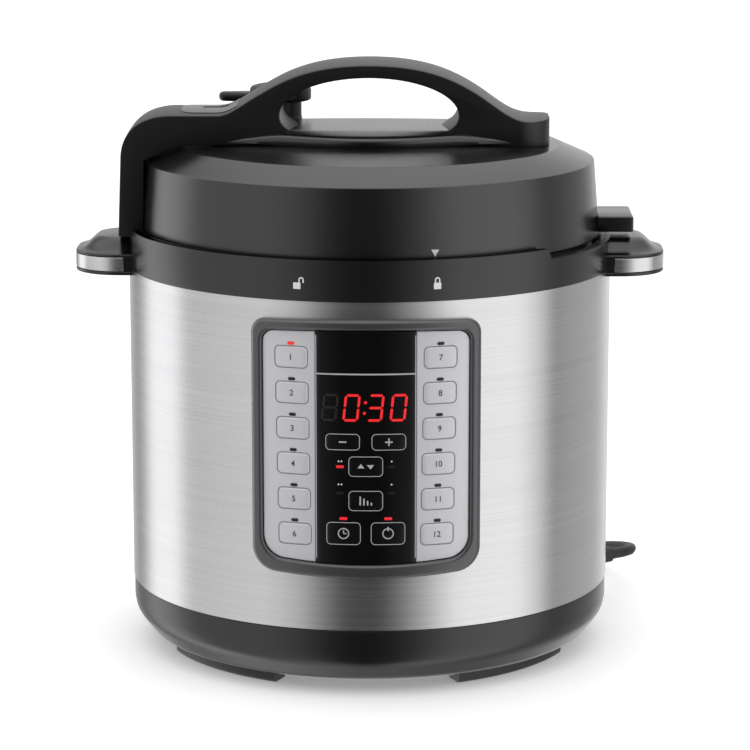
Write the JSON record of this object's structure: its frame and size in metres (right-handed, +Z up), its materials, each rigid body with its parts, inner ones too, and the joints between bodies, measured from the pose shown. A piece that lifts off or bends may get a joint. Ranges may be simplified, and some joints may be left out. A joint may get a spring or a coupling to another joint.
{
  "type": "electric pressure cooker",
  "caption": "Round countertop electric pressure cooker with a steel-sleeved body, a curved key panel, a lift-out pot and a turn-to-lock lid with an arched handle.",
  "frame": {"origin": "on the pot's axis, at the level of the surface that the feet stand on", "axes": "+Z up along the pot's axis, front panel faces -Y, +X to the right of someone facing the panel"},
  "size_m": [0.34, 0.4114, 0.3361],
  "materials": {
    "black_plastic": "satin moulded",
    "lid_plastic": "satin moulded",
    "handle_plastic": "fine-textured matt",
    "dark_plastic": "fine-textured matt",
    "rubber": "matt",
    "tie_strap": "woven",
    "sleeve_steel": "brushed round the body",
    "pot_steel": "satin, spun",
    "housing_steel": "plain",
    "screw_steel": "plated",
    "cast_aluminium": "cast and turned",
    "circuit_board": "solder mask",
    "display_red": "dark red filter",
    "bezel_grey": "dark metallic paint",
    "panel_silver": "fine metallic",
    "key_silver": "fine metallic",
    "window_black": "gloss",
    "key_black": "gloss",
    "brass": "plated",
    "cup_clear": "translucent",
    "silicone": "translucent silicone",
    "float_red": "anodised",
    "inlay_black": "satin"
  },
  "bodies": {
    "base": {"base_tub": "black_plastic", "base_cover": "dark_plastic", "feet": "rubber", "base_screws": "screw_steel", "outer_shell": "sleeve_steel", "top_ring": "black_plastic", "handle_left": "black_plastic", "handle_right": "black_plastic", "trim_left": "sleeve_steel", "trim_right": "sleeve_steel", "outer_pot": "housing_steel", "lock_ring": "pot_steel", "heating_plate": "cast_aluminium", "sensor_spring": "housing_steel", "pressure_switch": "dark_plastic", "power_board": "circuit_board", "control_board": "circuit_board", "display_module": "display_red", "panel_bezel": "bezel_grey", "strip_left": "panel_silver", "strip_right": "panel_silver", "panel_window": "window_black", "cord_boot": "rubber", "cord_run": "rubber", "cord_coil": "rubber", "cord_tail": "rubber", "cord_tie": "tie_strap", "plug": "rubber", "plug_pins": "brass"},
    "pot": {"inner_pot": "pot_steel"},
    "seal": {"sealing_ring": "silicone"},
    "lid": {"lid_cover": "lid_plastic", "lid_handle": "handle_plastic", "handle_inlay": "inlay_black", "lid_pan": "pot_steel", "seal_rack": "pot_steel", "valve_post": "dark_plastic", "lid_screws": "screw_steel"},
    "steam_valve": {"steam_valve": "handle_plastic"},
    "float_valve": {"float_valve": "float_red"},
    "sensor": {"sensor_cap": "cast_aluminium"},
    "condensate_cup": {"condensate_cup": "cup_clear"},
    "key_1": {"key_1": "key_silver"},
    "key_2": {"key_2": "key_silver"},
    "key_3": {"key_3": "key_silver"},
    "key_4": {"key_4": "key_silver"},
    "key_5": {"key_5": "key_silver"},
    "key_6": {"key_6": "key_silver"},
    "key_7": {"key_7": "key_silver"},
    "key_8": {"key_8": "key_silver"},
    "key_9": {"key_9": "key_silver"},
    "key_10": {"key_10": "key_silver"},
    "key_11": {"key_11": "key_silver"},
    "key_12": {"key_12": "key_silver"},
    "key_minus": {"key_minus": "key_black"},
    "key_plus": {"key_plus": "key_black"},
    "key_level": {"key_level": "key_black"},
    "key_heat": {"key_heat": "key_black"},
    "key_timer": {"key_timer": "key_black"},
    "key_start": {"key_start": "key_black"}
  },
  "joints": [
    {"name": "pot_lift", "type": "slide", "parent": "base", "child": "pot", "axis": [0, 0, 1], "range_m": [0, 0.18]},
    {"name": "lid_lift", "type": "slide", "parent": "pot", "child": "seal", "axis": [0, 0, 1], "range_m": [0, 0.09]},
    {"name": "lid_turn", "type": "hinge", "parent": "seal", "child": "lid", "pos_m": [0, 0, 0.23], "axis": [0, 0, 1], "range_deg": [-32, 0]},
    {"name": "steam_valve_turn", "type": "hinge", "parent": "lid", "child": "steam_valve", "pos_m": [-0.053, 0.049, 0.3], "axis": [0, 0, 1], "range_deg": [-40, 0]},
    {"name": "float_valve_rise", "type": "slide", "parent": "lid", "child": "float_valve", "axis": [0, 0, 1], "range_m": [0, 0.005]},
    {"name": "sensor_press", "type": "slide", "parent": "base", "child": "sensor", "axis": [0, 0, 1], "range_m": [-0.0025, 0], "stiffness_N_per_m": 800, "springref_m": 0.002, "deforming": ["sensor_spring"]},
    {"name": "condensate_cup_slide", "type": "slide", "parent": "base", "child": "condensate_cup", "axis": [0, 1, 0], "range_m": [0, 0.05]},
    {"name": "key_1_press", "type": "slide", "parent": "base", "child": "key_1", "axis": [0.2858, 0.9583, 0], "range_m": [0, 0.0006], "stiffness_N_per_m": 1500, "springref_m": -0.0004},
    {"name": "key_2_press", "type": "slide", "parent": "base", "child": "key_2", "axis": [0.2835, 0.959, 0], "range_m": [0, 0.0006], "stiffness_N_per_m": 1500, "springref_m": -0.0004},
    {"name": "key_3_press", "type": "slide", "parent": "base", "child": "key_3", "axis": [0.2811, 0.9597, 0], "range_m": [0, 0.0006], "stiffness_N_per_m": 1500, "springref_m": -0.0004},
    {"name": "key_4_press", "type": "slide", "parent": "base", "child": "key_4", "axis": [0.2787, 0.9604, 0], "range_m": [0, 0.0006], "stiffness_N_per_m": 1500, "springref_m": -0.0004},
    {"name": "key_5_press", "type": "slide", "parent": "base", "child": "key_5", "axis": [0.2764, 0.9611, 0], "range_m": [0, 0.0006], "stiffness_N_per_m": 1500, "springref_m": -0.0004},
    {"name": "key_6_press", "type": "slide", "parent": "base", "child": "key_6", "axis": [0.274, 0.9617, 0], "range_m": [0, 0.0006], "stiffness_N_per_m": 1500, "springref_m": -0.0004},
    {"name": "key_7_press", "type": "slide", "parent": "base", "child": "key_7", "axis": [-0.2858, 0.9583, 0], "range_m": [0, 0.0006], "stiffness_N_per_m": 1500, "springref_m": -0.0004},
    {"name": "key_8_press", "type": "slide", "parent": "base", "child": "key_8", "axis": [-0.2835, 0.959, 0], "range_m": [0, 0.0006], "stiffness_N_per_m": 1500, "springref_m": -0.0004},
    {"name": "key_9_press", "type": "slide", "parent": "base", "child": "key_9", "axis": [-0.2811, 0.9597, 0], "range_m": [0, 0.0006], "stiffness_N_per_m": 1500, "springref_m": -0.0004},
    {"name": "key_10_press", "type": "slide", "parent": "base", "child": "key_10", "axis": [-0.2787, 0.9604, 0], "range_m": [0, 0.0006], "stiffness_N_per_m": 1500, "springref_m": -0.0004},
    {"name": "key_11_press", "type": "slide", "parent": "base", "child": "key_11", "axis": [-0.2764, 0.9611, 0], "range_m": [0, 0.0006], "stiffness_N_per_m": 1500, "springref_m": -0.0004},
    {"name": "key_12_press", "type": "slide", "parent": "base", "child": "key_12", "axis": [-0.274, 0.9617, 0], "range_m": [0, 0.0006], "stiffness_N_per_m": 1500, "springref_m": -0.0004},
    {"name": "key_minus_press", "type": "slide", "parent": "base", "child": "key_minus", "axis": [0.0883, 0.9961, 0], "range_m": [0, 0.0006], "stiffness_N_per_m": 1500, "springref_m": -0.0004},
    {"name": "key_plus_press", "type": "slide", "parent": "base", "child": "key_plus", "axis": [-0.0883, 0.9961, 0], "range_m": [0, 0.0006], "stiffness_N_per_m": 1500, "springref_m": -0.0004},
    {"name": "key_level_press", "type": "slide", "parent": "base", "child": "key_level", "axis": [0, 1, 0], "range_m": [0, 0.0006], "stiffness_N_per_m": 1500, "springref_m": -0.0004},
    {"name": "key_heat_press", "type": "slide", "parent": "base", "child": "key_heat", "axis": [0, 1, 0], "range_m": [0, 0.0006], "stiffness_N_per_m": 1500, "springref_m": -0.0004},
    {"name": "key_timer_press", "type": "slide", "parent": "base", "child": "key_timer", "axis": [0.0854, 0.9963, 0], "range_m": [0, 0.0006], "stiffness_N_per_m": 1500, "springref_m": -0.0004},
    {"name": "key_start_press", "type": "slide", "parent": "base", "child": "key_start", "axis": [-0.0854, 0.9963, 0], "range_m": [0, 0.0006], "stiffness_N_per_m": 1500, "springref_m": -0.0004}
  ]
}
